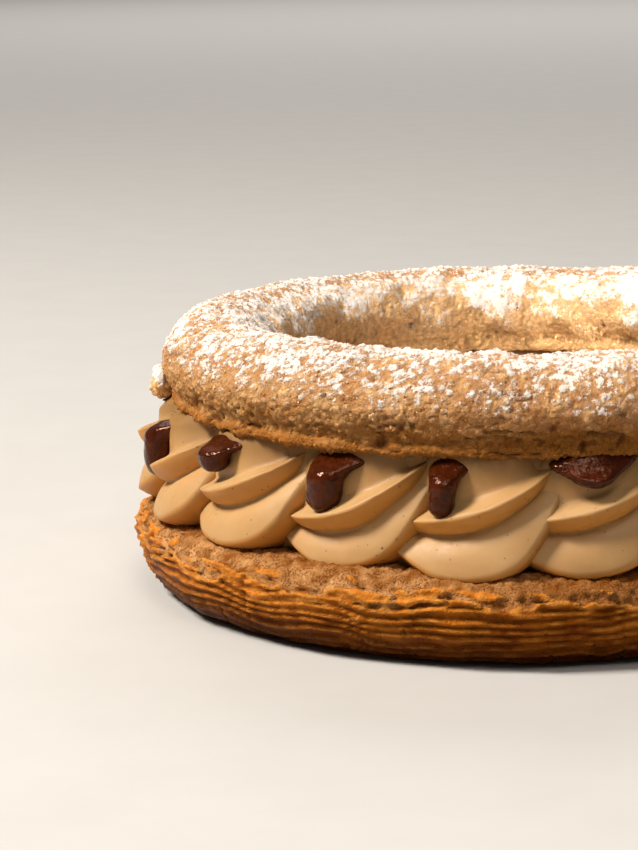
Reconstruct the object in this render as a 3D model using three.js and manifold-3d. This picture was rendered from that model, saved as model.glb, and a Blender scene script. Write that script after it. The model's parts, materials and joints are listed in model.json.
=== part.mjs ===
// A paris-brest: a ring of choux pastry cut level, filled with a piped star-nozzle cream rope,
// a bead of nut praline that runs out between the cream loops, and a crackled lid.
// Millimetres, +Z up. The origin is the middle of the underside and the ring's axis is Z.

import * as THREE from 'three';
import { mergeVertices } from 'three/addons/utils/BufferGeometryUtils.js';
import Module from 'manifold-3d';

const wasm = await Module();
wasm.setup();

// Ring: every layer lies round the same circle.
const RING_RADIUS = 77.5;
const RING_SEGMENTS = 32;
const GAP = 0.3;
const MERGE_DISTANCE = 1e-4;
const ARC_STEPS = { shoulder: 4, innerFlank: 3, crown: 4 };

// Base: the lower half, from its flat underside to the level cut.
const BASE_HEIGHT = 23;
const BASE_HALF_WIDTH = 22.5;
const BASE_BELLY_HEIGHT = 15.5;
const BASE_FOOT_HALF_WIDTH = 10.5;
const BASE_CUT_HALF_WIDTH = 11;
const BASE_RIDGES = 4;
const BASE_RIDGE_DEPTH = 0.9;
const BASE_WAVES = [[2, 0.5, 0.3], [4, 0.35, 1.9], [6, 0.25, 0.8]];

// Lid: the upper half, from its level cut to the crown.
const LID_BOTTOM = 48.5;
const LID_HEIGHT = 23.5;
const LID_HALF_WIDTH = 15;
const LID_CUT_HALF_WIDTH = 11.6;
// Height of the lid's widest place, as a share of its height, and the outline of its lip, whose
// points are counted in lips out from the cut and up from it.
const LID_WIDEST = 0.44;
const LID_LIP = 1.6;
const LIP_OUTLINE = [[0, 0], [1, 1], [0.8, 2.2]];
const LID_WAVES = [[3, 0.35, 2.2], [5, 0.3, 0.6], [8, 0.2, 1.4]];

// Cream: loops of a toothed rope, one row showing outside and one inside.
const LOOPS = 18;
const FIRST_LOOP = -8.2;
const LOOP_DRIFT = { reach: 1.9, waves: 3, phase: 26 };
const LOOP_SIZES = { swing: 0.035, pace: 2.3, start: 0.7 };
const CREAM_TOP = LID_BOTTOM - GAP;
const CREAM_FACE_RADIUS = { outside: RING_RADIUS + 15.5, inside: RING_RADIUS - 15.5 };
const CORE_HALF_WIDTH = 8.5;
// Teeth of the rope's section, as angles in degrees from straight out of the ring towards up and
// as reaches from its middle, both early in a loop and late in it. A hollow follows each tooth:
// how deep it is, and how far across to the next tooth it is deepest.
const TEETH = [
  { angle: -38, reach: 18, lateAngle: -15, lateReach: 10.5, hollow: 0.44, lean: 0.6 },
  { angle: 17, reach: 14.4, lateAngle: 17, lateReach: 13, hollow: 0.36, lean: 0.42 },
  { angle: 70, reach: 20.5, lateAngle: 64, lateReach: 19, hollow: 0.3, lean: 0.5 },
  { angle: 190, reach: 11, lateAngle: 190, lateReach: 10, hollow: 0.1, lean: 0.5 },
];
const LATE_FROM = 0.42;
const LATE_TO = 0.76;
// The rope's middle in one loop: along the ring, out of the ring's circle, height, and thickness.
const LOOP_PATH = [
  [-28, -3, 31.5, 0],
  [-23, -1, 31, 0.45],
  [-16, 1.2, 30.8, 0.7],
  [-8, 2.6, 31.2, 0.94],
  [0, 3, 32.6, 1],
  [7, 3.2, 34.8, 1],
  [14, 3, 38, 0.88],
  [19.5, 2, 41.6, 0.74],
  [24, 0.5, 46, 0.5],
  [27.5, -1, 52, 0],
];
const LOOP_ROWS = { outside: 8, inside: 4 };

// Praline: a bead under the lid, with a drop in the notch of each loop.
const BEAD_HALF_WIDTH = 5;
const BEAD_DEPTH = 4;
const DROP_PATH = [
  [-4, 1, 45.4, 0],
  [-5, 5, 45.2, 0.75],
  [-6.5, 10, 44.4, 0.9],
  [-7.2, 12.4, 42.6, 1.05],
  [-7.4, 12.8, 39.6, 0.95],
  [-7.4, 12.6, 36.8, 0],
];
const DROP_THICKNESS = 3;
const DROP_SIZES = { swing: 0.18, pace: 1.7, start: 2.4 };
const DROP_ROWS = 5;
const DROP_CORNERS = 5;

// Block that cuts the filling level at the lid.
const CUTTER = { halfWidth: 60, height: 30 };

const CRUST = { roughness: 0.75, metalness: 0 };
const baseMaterial = new THREE.MeshStandardMaterial({ color: 0xb9742f, ...CRUST });
const lidMaterial = new THREE.MeshStandardMaterial({ color: 0xb37a3f, ...CRUST });
const creamMaterial = new THREE.MeshStandardMaterial({ color: 0xd2ab72, roughness: 0.5, metalness: 0 });
const pralineMaterial = new THREE.MeshStandardMaterial({ color: 0x3a1409, roughness: 0.2, metalness: 0 });

const { degToRad: radians, euclideanModulo, lerp } = THREE.MathUtils;

function toSolid(geometry) {
  const bare = geometry.clone();
  bare.deleteAttribute('normal');
  bare.deleteAttribute('uv');
  const merged = mergeVertices(bare, MERGE_DISTANCE);
  const mesh = new wasm.Mesh({
    numProp: 3,
    vertProperties: new Float32Array(merged.attributes.position.array),
    triVerts: new Uint32Array(withoutSlivers(merged)),
  });
  return new wasm.Manifold(mesh);
}

// A merged pole leaves triangles with two corners alike, which enclose nothing.
function withoutSlivers(geometry) {
  const corners = geometry.index.array;
  const kept = [];
  for (let i = 0; i < corners.length; i += 3) {
    const [a, b, c] = [corners[i], corners[i + 1], corners[i + 2]];
    if (a !== b && b !== c && c !== a) {
      kept.push(a, b, c);
    }
  }
  return kept;
}

function toGeometry(solid) {
  const mesh = solid.getMesh();
  const geometry = new THREE.BufferGeometry();
  geometry.setAttribute('position', new THREE.BufferAttribute(mesh.vertProperties, 3));
  geometry.setIndex(new THREE.BufferAttribute(mesh.triVerts, 1));
  geometry.computeVertexNormals();
  return geometry;
}

// Sum of waves round the ring, each [count, height, phase].
function swell(azimuth, waves) {
  return waves.reduce((sum, [count, height, phase]) => sum + height * Math.sin(count * azimuth + phase), 0);
}

// A closed outline of [out, height] points is turned round the ring's axis, then its width
// breathes in and out by the waves, most at the places farthest from the ring's circle.
function ringGeometry(outline, waves, halfWidth) {
  const points = outline.map(([out, height]) => new THREE.Vector2(RING_RADIUS + out, height));
  points.push(points[0].clone());
  const geometry = new THREE.LatheGeometry(points, RING_SEGMENTS);
  geometry.rotateX(Math.PI / 2);
  const position = geometry.attributes.position;
  for (let i = 0; i < position.count; i += 1) {
    const azimuth = Math.atan2(position.getY(i), position.getX(i));
    const radius = Math.hypot(position.getX(i), position.getY(i));
    const share = (radius - RING_RADIUS) / halfWidth;
    const moved = radius + share * swell(azimuth, waves);
    position.setXY(i, moved * Math.cos(azimuth), moved * Math.sin(azimuth));
  }
  return geometry;
}

// Points on a quarter ellipse, from the side (1, 0) to the crown (0, 1).
function quarterEllipse(steps) {
  return Array.from({ length: steps + 1 }, (_, i) => {
    const angle = (i / steps) * Math.PI / 2;
    return [Math.cos(angle), Math.sin(angle)];
  });
}

// Side of the base from the foot up to the belly, pressed into lengthwise piping ridges.
function ridgedFlank(from, to) {
  const points = [];
  for (let i = 0; i <= 2 * BASE_RIDGES; i += 1) {
    const share = i / (2 * BASE_RIDGES);
    const angle = share * Math.PI / 2;
    const out = lerp(from[0], to[0], Math.sin(angle));
    const up = lerp(from[1], to[1], 1 - Math.cos(angle));
    const groove = i % 2 === 1 ? BASE_RIDGE_DEPTH : 0;
    points.push([out - groove * Math.cos(angle), up + groove * Math.sin(angle)]);
  }
  return points;
}

// The base's section, ridged on its outer side and plain round the hole.
function baseOutline(grow = 0) {
  const foot = [BASE_FOOT_HALF_WIDTH, 0];
  const belly = [BASE_HALF_WIDTH + grow, BASE_BELLY_HEIGHT];
  const shoulder = quarterEllipse(ARC_STEPS.shoulder).slice(1).map(([across, up]) => [
    lerp(BASE_CUT_HALF_WIDTH, belly[0], across),
    lerp(belly[1], BASE_HEIGHT + grow, up),
  ]);
  const plainFlank = quarterEllipse(ARC_STEPS.innerFlank).map(([across, up]) => [
    lerp(foot[0], belly[0], up),
    lerp(belly[1], foot[1], across),
  ]);
  const outer = [...ridgedFlank(foot, belly), ...shoulder];
  const inner = [...plainFlank, ...shoulder].map(([out, up]) => [-out, up]);
  return [...outer, ...inner.reverse()];
}

function lidOutline() {
  const widest = LID_BOTTOM + LID_HEIGHT * LID_WIDEST;
  const crown = quarterEllipse(ARC_STEPS.crown).map(([across, up]) => [
    LID_HALF_WIDTH * across,
    lerp(widest, LID_BOTTOM + LID_HEIGHT, up),
  ]);
  const lip = LIP_OUTLINE.map(([out, up]) => [
    LID_CUT_HALF_WIDTH + LID_LIP * out,
    LID_BOTTOM + LID_LIP * up,
  ]);
  const outer = [...lip, ...crown];
  const inner = outer.slice(0, -1).map(([out, up]) => [-out, up]);
  return [...outer, ...inner.reverse()];
}

// Place on the toothed section, as a share of the way round it: sharp at each tooth and hollow
// between two, with the teeth moving from their early to their late places along the loop.
function toothedSection(turn, along) {
  const late = THREE.MathUtils.smoothstep(along, LATE_FROM, LATE_TO);
  const step = euclideanModulo(turn, 1) * TEETH.length;
  const count = Math.floor(step);
  const share = step - count;
  const tooth = TEETH[count];
  const next = TEETH[(count + 1) % TEETH.length];
  const wrap = next === TEETH[0] ? 360 : 0;
  const across = share < 0.5 ? share * 2 * tooth.lean : 1 - (1 - share) * 2 * (1 - tooth.lean);
  const angles = [lerp(tooth.angle, tooth.lateAngle, late), lerp(next.angle, next.lateAngle, late) + wrap];
  const reaches = [lerp(tooth.reach, tooth.lateReach, late), lerp(next.reach, next.lateReach, late)];
  const hollow = tooth.hollow * (1 - Math.abs(1 - 2 * share));
  return {
    angle: radians(lerp(...angles, across)),
    reach: lerp(...reaches, across) * (1 - hollow),
  };
}

function roundSection(turn) {
  return { angle: turn * 2 * Math.PI, reach: DROP_THICKNESS };
}

// Rope along a path of [along, out, height, thickness] points laid beside the ring: a sphere's
// grid whose rows follow the path and whose poles close its two ends. It is shaped with the ring
// unrolled flat and then wrapped round it, on the outside of the ring's circle or on the inside.
function ropeGeometry({ path, section, azimuth, side, rows, corners }) {
  const middle = new THREE.CatmullRomCurve3(path.map((point) => new THREE.Vector3(...point.slice(0, 3))));
  const thickness = new THREE.CatmullRomCurve3(path.map((point, i) => new THREE.Vector3(i, point[3], 0)));
  const outwards = new THREE.Vector3(0, 1, 0);
  const geometry = new THREE.SphereGeometry(1, corners, rows);
  const { position, uv } = geometry.attributes;
  for (let i = 0; i < position.count; i += 1) {
    const along = 1 - uv.getY(i);
    const { angle, reach } = section(uv.getX(i), along);
    const forward = middle.getTangent(along);
    const out = outwards.clone().addScaledVector(forward, -outwards.dot(forward)).normalize();
    const up = forward.clone().cross(out);
    const size = Math.max(0, thickness.getPoint(along).y) * reach;
    const place = middle.getPoint(along);
    place.addScaledVector(out, size * Math.cos(angle));
    place.addScaledVector(up, size * Math.sin(angle));
    wrapRound(place, azimuth, side);
    position.setXYZ(i, place.x, place.y, place.z);
  }
  return geometry;
}

function wrapRound(place, azimuth, side) {
  const facing = side === 'outside' ? 1 : -1;
  const turned = radians(azimuth) + facing * place.x / CREAM_FACE_RADIUS[side];
  const radius = RING_RADIUS + facing * place.y;
  place.set(radius * Math.sin(turned), -radius * Math.cos(turned), place.z);
}

// Azimuth of a loop in degrees, 0 at the front: the loops crowd and spread a little.
function loopAzimuth(loop) {
  const even = (360 / LOOPS) * loop;
  const { reach, waves, phase } = LOOP_DRIFT;
  return FIRST_LOOP + even + reach * Math.cos(radians(phase + waves * even));
}

// A path whose thickness is a little different for each loop.
function unevenPath(path, loop, { swing, pace, start }) {
  const size = 1 + swing * Math.sin(pace * loop + start);
  return path.map(([along, out, height, thickness]) => [along, out, height, thickness * size]);
}

function loopSolid(loop, side) {
  const halfStep = side === 'inside' ? 180 / LOOPS : 0;
  return toSolid(ropeGeometry({
    path: unevenPath(LOOP_PATH, loop, LOOP_SIZES),
    section: toothedSection,
    azimuth: loopAzimuth(loop) + halfStep,
    side,
    rows: LOOP_ROWS[side],
    corners: 2 * TEETH.length,
  }));
}

function dropSolid(loop) {
  return toSolid(ropeGeometry({
    path: unevenPath(DROP_PATH, loop, DROP_SIZES),
    section: roundSection,
    azimuth: loopAzimuth(loop),
    side: 'outside',
    rows: DROP_ROWS,
    corners: DROP_CORNERS,
  }));
}

// Ring of rectangular section, from one height to another.
function bandSolid(halfWidth, bottom, top) {
  const outline = [[halfWidth, bottom], [halfWidth, top], [-halfWidth, top], [-halfWidth, bottom]];
  return toSolid(ringGeometry(outline, [], halfWidth));
}

function joined(solids) {
  return solids.reduce((whole, solid) => whole.add(solid));
}

function named(name, geometry, material) {
  const mesh = new THREE.Mesh(geometry, material);
  mesh.name = name;
  return mesh;
}

const loops = Array.from({ length: LOOPS }, (_, i) => i);
const above = bandSolid(CUTTER.halfWidth, CREAM_TOP, CREAM_TOP + CUTTER.height);
const bead = bandSolid(BEAD_HALF_WIDTH, CREAM_TOP - BEAD_DEPTH, CREAM_TOP);
const praline = joined([bead, ...loops.map(dropSolid)]).subtract(above);
const core = bandSolid(CORE_HALF_WIDTH, BASE_HEIGHT + GAP, CREAM_TOP);
const ropes = joined([
  core,
  ...loops.map((loop) => loopSolid(loop, 'outside')),
  ...loops.map((loop) => loopSolid(loop, 'inside')),
]);
const underneath = toSolid(ringGeometry(baseOutline(GAP), BASE_WAVES, BASE_HALF_WIDTH));
const cream = ropes.subtract(above).subtract(underneath).subtract(praline);

const pastry = new THREE.Group();
pastry.add(
  named('base', ringGeometry(baseOutline(), BASE_WAVES, BASE_HALF_WIDTH), baseMaterial),
  named('cream', toGeometry(cream), creamMaterial),
  named('praline', toGeometry(praline), pralineMaterial),
  named('lid', ringGeometry(lidOutline(), LID_WAVES, LID_HALF_WIDTH), lidMaterial),
);

export default pastry;
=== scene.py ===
"""Looks of a paris-brest: two halves of a baked choux ring, piped praline cream between them,
drops of dark praline paste, a crackled sugar-dusted lid. Shapes are worked out in millimetres
round the ring and scaled to metres when each piece is finished."""

import json
import math
import random

import bmesh
import bpy
import numpy as np
from mathutils import Matrix, Vector, noise


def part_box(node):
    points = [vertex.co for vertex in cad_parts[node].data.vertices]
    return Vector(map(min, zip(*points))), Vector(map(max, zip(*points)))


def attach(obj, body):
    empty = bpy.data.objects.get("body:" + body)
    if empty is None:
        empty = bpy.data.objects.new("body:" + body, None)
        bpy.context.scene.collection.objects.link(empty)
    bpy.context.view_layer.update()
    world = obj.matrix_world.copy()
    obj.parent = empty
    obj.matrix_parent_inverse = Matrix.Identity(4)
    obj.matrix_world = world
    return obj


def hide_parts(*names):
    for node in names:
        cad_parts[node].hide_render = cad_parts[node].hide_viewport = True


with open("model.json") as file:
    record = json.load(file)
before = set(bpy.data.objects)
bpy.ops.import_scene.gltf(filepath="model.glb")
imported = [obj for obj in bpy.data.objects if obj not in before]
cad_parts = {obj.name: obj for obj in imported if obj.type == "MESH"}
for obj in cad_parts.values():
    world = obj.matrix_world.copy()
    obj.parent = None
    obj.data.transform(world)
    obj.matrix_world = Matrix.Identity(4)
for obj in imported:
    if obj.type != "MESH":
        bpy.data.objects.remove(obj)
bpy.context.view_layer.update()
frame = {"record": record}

MM = 0.001

# Sizes of the layers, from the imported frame.
BASE_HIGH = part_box("base")[1] / MM
CREAM_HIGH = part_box("cream")[1] / MM
LID_LOW, LID_HIGH = (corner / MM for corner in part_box("lid"))
RING_RADIUS = frame["record"]["mounts"][0]["pos_m"][0] / MM
BASE_HEIGHT = BASE_HIGH.z
BASE_HALF = (BASE_HIGH.x + BASE_HIGH.y) / 2 - RING_RADIUS
LID_HALF = (LID_HIGH.x + LID_HIGH.y) / 2 - RING_RADIUS
LID_BOTTOM = LID_LOW.z
LID_TOP = LID_HIGH.z
CREAM_TOP = CREAM_HIGH.z

# Base: where its flank bellies out, how wide its foot and its cut are, and its piping ridges.
BELLY_HEIGHT = 0.67 * BASE_HEIGHT
FOOT_HALF = 10.5
CUT_HALF = 11.6
RIDGE_SPACING = 2.25
RIDGE_DEPTH = 0.95
RIDGE_SWAY = 0.75
RIDGE_CREST = 0.82
# The crust ends about this high, over this much, and the bare crumb lies this much deeper.
CRUST_TOP = 15
CRUST_FADE = 6.5
CRUMB_DEPTH = 1.1
# Heights over which torn strips end, and over which blisters start and end.
STRIP_END = (18, 22)
BLISTER_START, BLISTER_END = (8, 12), (17, 20)
EDGE_RISE, STRIP_RISE, BLISTER_RISE, CRACK_DEPTH = 0.6, 0.8, 0.8, 0.7
# Painted shade darkens the foot up to here, and the crumb from here up.
FOOT_SHADE_TOP, CRUMB_SHADE = 16, 18

# Lid: its torn lip, and how coarse and how deep its craquelin is.
LIP = 1.7
STONE = 2.1
STONE_RISE, SMALL_STONE_RISE, STONE_SINK = 0.6, 0.36, 0.8
FISSURE_DEPTH, PIT_DEPTH, PIT_SPACING = 1.0, 0.8, 6.5
# Height above the cut and half width of the band where fissures are thickest.
FISSURE_BAND = (4.6, 2.8)
# Icing sugar where it lies thin and where it lies thick: the upward slopes at which it starts
# and is full, and the most that lies there.
THIN_SUGAR = (-0.95, 1.15, 0.7)
THICK_SUGAR = (-0.6, 0.95, 0.75)

# Unevenness of each surface, as waves: how high and how wide. The lid's have a height, how much
# is added to it on the inner wall, and a width.
BASE_WAVES = ((0.8, 23), (0.45, 9))
CRUMB_WAVES = ((0.7, 2.3), (0.6, 1.1))
LID_WAVES = ((0.9, 0, 25), (0.6, 1.6, 10), (0.4, 0.6, 5))
SUGAR_WAVES = ((0.3, 13), (0.3, 5), (0.5, 2.3))
CREAM_WAVES = ((0.28, 7), (0.1, 2.6))
PRALINE_WAVES = ((0.35, 3.4), (0.13, 1.6))

# Mesh of the two crusts: steps round the ring and cuts in each, spacings up the outer and the
# inner side, and steps across the underside and from the edge of the base's cut to its middle.
CRUST_STEPS, CRUST_CUTS = 215, 3
BASE_SPACINGS = (0.56, 1.2)
LID_SPACINGS = (0.66, 1.0)
UNDER_STEPS, CUT_STEPS = 11, 4
# Steps that a curve is measured in, and steps of the plain rings inside.
CURVE_STEPS, PLAIN_STEPS = 400, 180

# Cream: loops of a star-nozzle rope, one row outside and one inside. Azimuth of the first one
# and how far they stray from even steps, how far out their faces are, and how much they swing
# in size and waver.
LOOPS = 18
FIRST_LOOP, LOOP_DRIFT = -8.2, 1.9
FACE_OFFSET = 15.5
SIZE_SWING, WAVER = 0.035, 0.4
# The plain core under the loops, and how far it is sunk into the base.
CORE_HALF, CORE_SINK = 8.5, 1.5
# How far the cream is pressed into the lid, and how steeply it falls away outside the cut.
PRESS, PRESS_SLOPE = 1, 0.9
# Teeth of the rope's section: angle in degrees from straight out of the ring towards up and
# reach from its middle, early in a loop and late in it, then the hollow that follows the
# tooth: its depth, how far across it is deepest, and how sharp its bottom is.
TEETH = [
    (-38, 18, -15, 10.5, 0.44, 0.6, 0.85),
    (17, 14.4, 17, 13, 0.36, 0.42, 1.6),
    (70, 20.5, 64, 19, 0.3, 0.5, 2),
    (190, 11, 190, 10, 0.1, 0.5, 2),
]
# Shares of a loop over which its teeth go from early to late, and over which its lowest tooth
# comes down to its petal, by how many degrees.
LATE_FROM, LATE_TO = 0.54, 0.84
TIP_FROM, TIP_TO, TIP_LIFT = 0.16, 0.42, 20
# Middle of the rope in one loop: along the ring, out of its circle, height, thickness.
LOOP_PATH = [
    (-28, -3, 31.5, 0),
    (-23, -1, 31, 0.34),
    (-16, 1.8, 30.8, 0.62),
    (-8, 2.8, 31.2, 0.9),
    (0, 3, 32.6, 1),
    (7, 3.2, 34.8, 1),
    (14, 3, 38, 0.88),
    (19.5, 2, 41.6, 0.74),
    (24, 0.5, 46, 0.5),
    (27.5, -1, 52, 0),
]
# How far the loops on the left are squeezed out, and the azimuth where it is most.
LEFT_BULGE, BULGE_AZIMUTH = 5, -95
# Reach of the lowest tooth and lift of the whole loop, a pattern that comes back three times.
PETALS = [(1, -0.6), (1, 0.3), (0.95, 0.4), (0.92, -1.2), (0.9, -0.8), (0.8, -2.4)]
# Rows along a loop and columns round it.
OUTSIDE_MESH = (76, 72)
INSIDE_MESH = (44, 48)

# Praline: a bead under the lid, and a drop in the notch of each loop, along whose path lie
# the same four measures as along a loop's.
BEAD_HALF, BEAD_DEPTH, BEAD_BELLY, BEAD_PRESS = 6, 4, 1, 0.5
DROP_PATH = [
    (-1.5, 1, 47.6, 0),
    (-3, 6, 47.4, 0.8),
    (-5, 11, 46.2, 1.05),
    (-6.6, 13.2, 43.6, 1.2),
    (-7.2, 13.6, 40.6, 1.2),
    (-7.5, 13.3, 38.2, 1.15),
    (-7.7, 12.8, 36.4, 0.8),
    (-7.8, 12.4, 35.5, 0),
]
DROP_THICKNESS = 3.3
DROP_MIDDLE = -6.5
# Width, length, shift along the ring and lift of the drops, three times round the ring.
DROPS = [
    (0.85, 1.05, 1.2, 0), (1.4, 0.65, 8, 2.6), (0.5, 0.3, 4, 1.5),
    (1.0, 1.2, 1.2, -1.5), (1.1, 0.75, 2.6, 0.8), (1.15, 1.1, 3.8, 0),
]
# How much wider a drop is at its top, and how far that top is tucked in under the lid.
DROP_FLARE, DROP_TUCK = 0.9, 3
DROP_MESH = (44, 36)

# Flake of crust that juts out of the lid's left edge: azimuth, how far out, height, half sizes.
FLAKE_PLACE = (-91, 16, 51)
FLAKE_HALF = (6.5, 3.1, 4.3)

# Loose stuff: how many, how big, how flat, how far sunk in, and the seeds of its places and
# shapes.
GRAINS = 9400
GRAIN_SIZES = (0.35, 1.15)
GRAIN_FLATNESS, GRAIN_SUNK = 0.7, 0.34
GRAIN_SEEDS = (11, 21)
SUGAR_CLUMPS = 3000
SUGAR_SIZES = (0.2, 0.6)
SUGAR_FLATNESS, SUGAR_SUNK = 0.6, 0.1
SUGAR_SEEDS = (31, 41)
# Kinds of loose lump, and how far their corners reach, as shares of a round one's.
LUMP_KINDS = 6
LUMP_REACH = (0.6, 1.25)
# Stands for a chance of 0, which can't be divided by.
NO_CHANCE = 1e-30
# How far the cells of the fine grain in the materials are bent out of shape.
GRAIN_DRIFT = 0.6

# Camera, floor and lights, in metres, watts and degrees.
CAMERA_PLACE = (0, -0.6584, 0.1694)
CAMERA_DOWN, CAMERA_LEFT, CAMERA_ROLL = 11.14, 4.48, -0.89
CAMERA_LENS = 105.9
SENSOR = 36
FLOOR_HALF = 12
# Place, aim, size, power, colour and spread of each light.
LIGHTS = {
    "key": ((-1.08, -0.42, 1.4), (0, 0, 0.03), 0.45, 58, (1, 0.95, 0.88), 180),
    "fill": ((0.15, -0.8, 1.1), (0, 0, 0.03), 0.5, 5, (1, 0.96, 0.9), 180),
    "inner_wall": ((0.02, -0.82, 0.45), (0.01, 0.065, 0.044), 0.06, 0.022, (1, 0.93, 0.85), 7),
    "backdrop": ((0, 4.5, 3.5), (0, 4.5, 0), 4, 200, (1, 0.98, 0.96), 180),
}
STUDIO_COLOUR, STUDIO_STRENGTH = (1, 0.98, 0.96, 1), 0.1


# ---------------------------------------------------------------- shape helpers

def smooth(low, high, value):
    """0 below low, 1 above high, with a soft step between."""
    share = min(max((value - low) / (high - low), 0), 1)
    return share * share * (3 - 2 * share)


def mix(a, b, share):
    return a + (b - a) * share


def on_curve(points, share):
    """Point at a share of the way along a smooth curve through all the points."""
    last = len(points) - 1
    step = min(max(share, 0), 1) * last
    i = min(int(step), last - 1)
    start, end = points[i], points[i + 1]
    before = points[i - 1] if i > 0 else 2 * start - end
    after = points[i + 2] if i + 2 <= last else 2 * end - start
    t = step - i
    slope = (end - before) * t
    bend = (2 * before - 5 * start + 4 * end - after) * t ** 2
    turn = (3 * start - before - 3 * end + after) * t ** 3
    return 0.5 * (2 * start + slope + bend + turn)


def arc(middle, reach, angles):
    """Points of an arc at angles in degrees, from straight out towards up."""
    turned = [math.radians(angle) for angle in angles]
    return [(middle[0] + reach[0] * math.cos(a), middle[1] + reach[1] * math.sin(a)) for a in turned]


def even_outline(corners, spacing):
    """Points at an even spacing along a smooth curve through the corners."""
    points = [Vector(corner) for corner in corners]
    fine = np.array([on_curve(points, i / CURVE_STEPS) for i in range(CURVE_STEPS + 1)])
    run = np.concatenate(([0], np.cumsum(np.linalg.norm(np.diff(fine, axis=0), axis=1))))
    stops = np.linspace(0, run[-1], max(2, round(run[-1] / spacing)) + 1)
    return list(zip(np.interp(stops, run, fine[:, 0]), np.interp(stops, run, fine[:, 1])))


def closed_outline(side, spacings, flat, under_half, bottom):
    """Outline of a ring's section: its outer side from the underside up, the same mirrored for
    the inner side, and the underside. Flat is the outer half of what lies between at the top."""
    outer = even_outline(side, spacings[0]) + flat
    inner = even_outline(side, spacings[1]) + flat
    inner = [(-out, height) for out, height in reversed(inner)][1:]
    under = [(under_half * (2 * i / UNDER_STEPS - 1), bottom) for i in range(1, UNDER_STEPS)]
    return outer + inner + under


def spun_ring(outline, steps, cuts=0):
    """Closed outline of (out, height) points turned round the ring's axis. Few steps are spun
    and then cut finer, which is quicker, and the faces are put in one fixed order."""
    bm = bmesh.new()
    rim = [bm.verts.new((RING_RADIUS + out, 0, height)) for out, height in outline]
    edges = [bm.edges.new((rim[i - 1], rim[i])) for i in range(len(rim))]
    bmesh.ops.spin(
        bm, geom=rim + edges, cent=(0, 0, 0), axis=(0, 0, 1),
        angle=math.tau, steps=steps, use_merge=True,
    )
    if cuts:
        along = [edge for edge in bm.edges if runs_along_ring(edge)]
        bmesh.ops.subdivide_edges(bm, edges=along, cuts=cuts, use_grid_fill=True)
    bmesh.ops.recalc_face_normals(bm, faces=bm.faces)
    heights = [height for _, height in outline]
    middle = (min(heights) + max(heights)) / 2
    bm.faces.sort(key=lambda face: order_of(face, steps * (cuts + 1), middle))
    return bm


def order_of(face, columns, middle):
    """Place of a face in the order: by its column round the ring, then round the section."""
    centre = face.calc_center_median()
    column = round(azimuth_of(centre) / math.tau * columns * 2)
    return column * math.tau + math.atan2(centre.z - middle, out_of(centre))


def runs_along_ring(edge):
    start, end = (vert.co for vert in edge.verts)
    return abs(out_of(start) - out_of(end)) + abs(start.z - end.z) < 0.001


def azimuth_of(point):
    """Angle round the ring: 0 at the front, growing to the right."""
    return math.atan2(point.x, -point.y)


def out_of(point):
    """How far a point is outside the ring's circle."""
    return math.hypot(point.x, point.y) - RING_RADIUS


def ribbon(azimuth, height, along, across):
    """Noise place that is stretched along the ring."""
    radius = RING_RADIUS / along
    return Vector((radius * math.sin(azimuth), -radius * math.cos(azimuth), height / across))


def lumps(point, size):
    return noise.noise(point / size)


def waves(point, sizes):
    """Sum of soft lumps, each with a height and a width."""
    return sum(height * lumps(point, width) for height, width in sizes)


def stones(point, size):
    """Rounded grains, near 1 in their middles and 0 in the creases between them."""
    near, after = noise.voronoi(point / size)[0][:2]
    return smooth(0, 0.45, after - near)


def emboss(bm, relief):
    """Moves each vertex along its normal by what relief says, and keeps the marks it gives."""
    bm.normal_update()
    reliefs = [relief(vert.co, vert.normal) for vert in bm.verts]
    for vert, (rise, _) in zip(bm.verts, reliefs):
        vert.co += vert.normal * rise
    for name in reliefs[0][1]:
        layer = bm.verts.layers.float.new(name)
        for vert, (_, marks) in zip(bm.verts, reliefs):
            vert[layer] = marks[name]


def finished(name, bm, material, node):
    """Object in metres from a bmesh in millimetres, riding on the body in its node's place."""
    bmesh.ops.scale(bm, vec=(MM, MM, MM), verts=bm.verts)
    mesh = bpy.data.meshes.new(name)
    bm.to_mesh(mesh)
    bm.free()
    return placed(name, mesh, material, node)


def placed(name, mesh, material, node, rounded=True):
    mesh.polygons.foreach_set("use_smooth", [rounded] * len(mesh.polygons))
    mesh.materials.append(material)
    piece = bpy.data.objects.new(name, mesh)
    bpy.context.scene.collection.objects.link(piece)
    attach(piece, "root")
    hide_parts(node)
    return piece


# ---------------------------------------------------------------- base

def base_side():
    """Outer side of the base's section, from its foot up to the edge of its cut."""
    flank_reach = (BASE_HALF - FOOT_HALF, BELLY_HEIGHT)
    flank = arc((FOOT_HALF, BELLY_HEIGHT), flank_reach, range(-90, 0, 15))
    shoulder_reach = (BASE_HALF - CUT_HALF, BASE_HEIGHT - BELLY_HEIGHT)
    shoulder = arc((CUT_HALF, BELLY_HEIGHT), shoulder_reach, range(0, 90, 15))
    return flank + shoulder + [(CUT_HALF, BASE_HEIGHT)]


def ridge_profile(phase):
    """Shingled ridge: it swells slowly outwards and steps back just above its crest."""
    share = phase % 1
    if share < RIDGE_CREST:
        return (share / RIDGE_CREST) ** 1.7
    return 1 - smooth(RIDGE_CREST, 1, share)


def base_form(place, normal):
    """Large unevenness of the baked ring, none at its foot."""
    return waves(place, BASE_WAVES) * smooth(0.1, 3, place.z), {}


def ridge_phase(azimuth, side, height):
    """Which ridge a height is on: they wander, crowd and spread."""
    stretch = ribbon(azimuth, side * 40, along=17, across=30)
    sway = RIDGE_SWAY * (noise.noise(stretch) + 0.6 * noise.noise(stretch * 2.7))
    spread = 1.3 * noise.noise(ribbon(azimuth, height + side * 30, along=21, across=4.5))
    shift = 0.4 * noise.noise(ribbon(azimuth, side * 7, along=10, across=9))
    return (height + 2.2 * sway + spread) / RIDGE_SPACING + shift


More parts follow.
